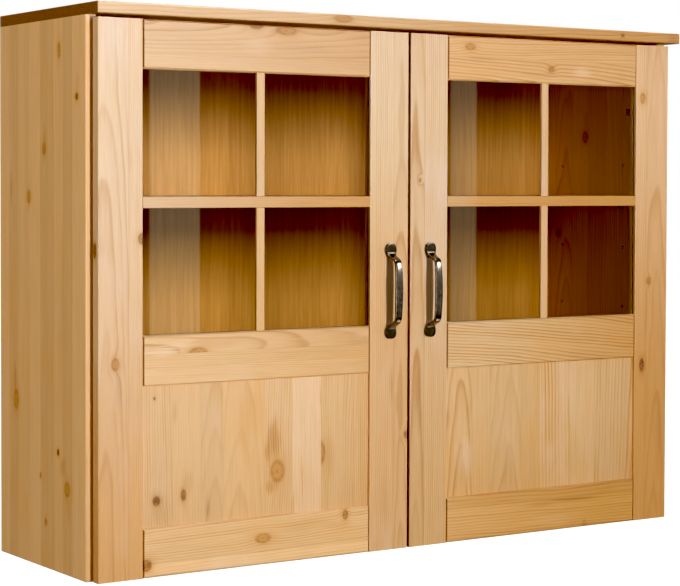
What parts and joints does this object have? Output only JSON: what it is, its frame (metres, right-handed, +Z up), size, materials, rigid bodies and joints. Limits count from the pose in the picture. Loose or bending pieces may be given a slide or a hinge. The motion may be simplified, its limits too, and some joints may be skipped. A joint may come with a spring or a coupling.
{
  "type": "wall display cabinet",
  "caption": "Pine wall display cabinet with hinged framed doors, glazed with glazing bars above and panelled below, dark bow pulls, concealed hinges and an adjustable shelf.",
  "frame": {"origin": "midway between the two wall screw holes of the hanging rail, on the wall plane", "axes": "+X along the cabinet's width, to the right seen from the front; +Y into the wall, so the doors look along -Y; +Z up"},
  "size_m": [0.983, 0.308, 0.7385],
  "materials": {
    "pine_carcass": "clear-oiled edge-glued pine, satin",
    "pine_frame": "clear-oiled pine, satin",
    "pine_panel": "clear-oiled edge-glued pine, satin",
    "back_board": "wood-grain board, satin",
    "glass": "clear float glass",
    "pewter": "dark antique pewter, worn bright on the edges",
    "nickel_steel": "nickel-plated steel",
    "zinc_steel": "zinc-plated steel",
    "beech": "raw beech"
  },
  "bodies": {
    "carcass": {"back_panel": "back_board", "back_panel_nails": "zinc_steel", "bottom_panel": "pine_carcass", "carcass_cam_bolts": "zinc_steel", "carcass_cam_locks": "zinc_steel", "carcass_dowels": "beech", "hanging_rail": "pine_carcass", "left_hinge_arms": "nickel_steel", "left_hinge_plate_screws": "zinc_steel", "left_hinge_plates": "nickel_steel", "left_side_panel": "pine_carcass", "right_hinge_arms": "nickel_steel", "right_hinge_plate_screws": "zinc_steel", "right_hinge_plates": "nickel_steel", "right_side_panel": "pine_carcass", "shelf": "pine_carcass", "shelf_pins": "zinc_steel", "top_board": "pine_carcass"},
    "left_door": {"left_door_bottom_rail": "pine_frame", "left_door_glass": "glass", "left_door_glass_beads": "pine_frame", "left_door_glazing_bar_horizontal": "pine_frame", "left_door_glazing_bar_lower": "pine_frame", "left_door_glazing_bar_upper": "pine_frame", "left_door_handle": "pewter", "left_door_handle_screws": "zinc_steel", "left_door_handle_stile": "pine_frame", "left_door_hinge_stile": "pine_frame", "left_door_middle_rail": "pine_frame", "left_door_panel": "pine_panel", "left_door_rail_dowels": "beech", "left_door_top_rail": "pine_frame", "left_hinge_cup_screws": "zinc_steel", "left_hinge_cups": "nickel_steel", "left_hinge_pins": "zinc_steel"},
    "right_door": {"right_door_bottom_rail": "pine_frame", "right_door_glass": "glass", "right_door_glass_beads": "pine_frame", "right_door_glazing_bar_horizontal": "pine_frame", "right_door_glazing_bar_lower": "pine_frame", "right_door_glazing_bar_upper": "pine_frame", "right_door_handle": "pewter", "right_door_handle_screws": "zinc_steel", "right_door_handle_stile": "pine_frame", "right_door_hinge_stile": "pine_frame", "right_door_middle_rail": "pine_frame", "right_door_panel": "pine_panel", "right_door_rail_dowels": "beech", "right_door_top_rail": "pine_frame", "right_hinge_cup_screws": "zinc_steel", "right_hinge_cups": "nickel_steel", "right_hinge_pins": "zinc_steel"}
  },
  "joints": [
    {"name": "left_door_hinge", "type": "hinge", "parent": "carcass", "child": "left_door", "pos_m": [-0.476, -0.2725, 0], "axis": [0, 0, -1], "range_deg": [0, 95]},
    {"name": "right_door_hinge", "type": "hinge", "parent": "carcass", "child": "right_door", "pos_m": [0.476, -0.2725, 0], "axis": [0, 0, 1], "range_deg": [0, 95]}
  ]
}
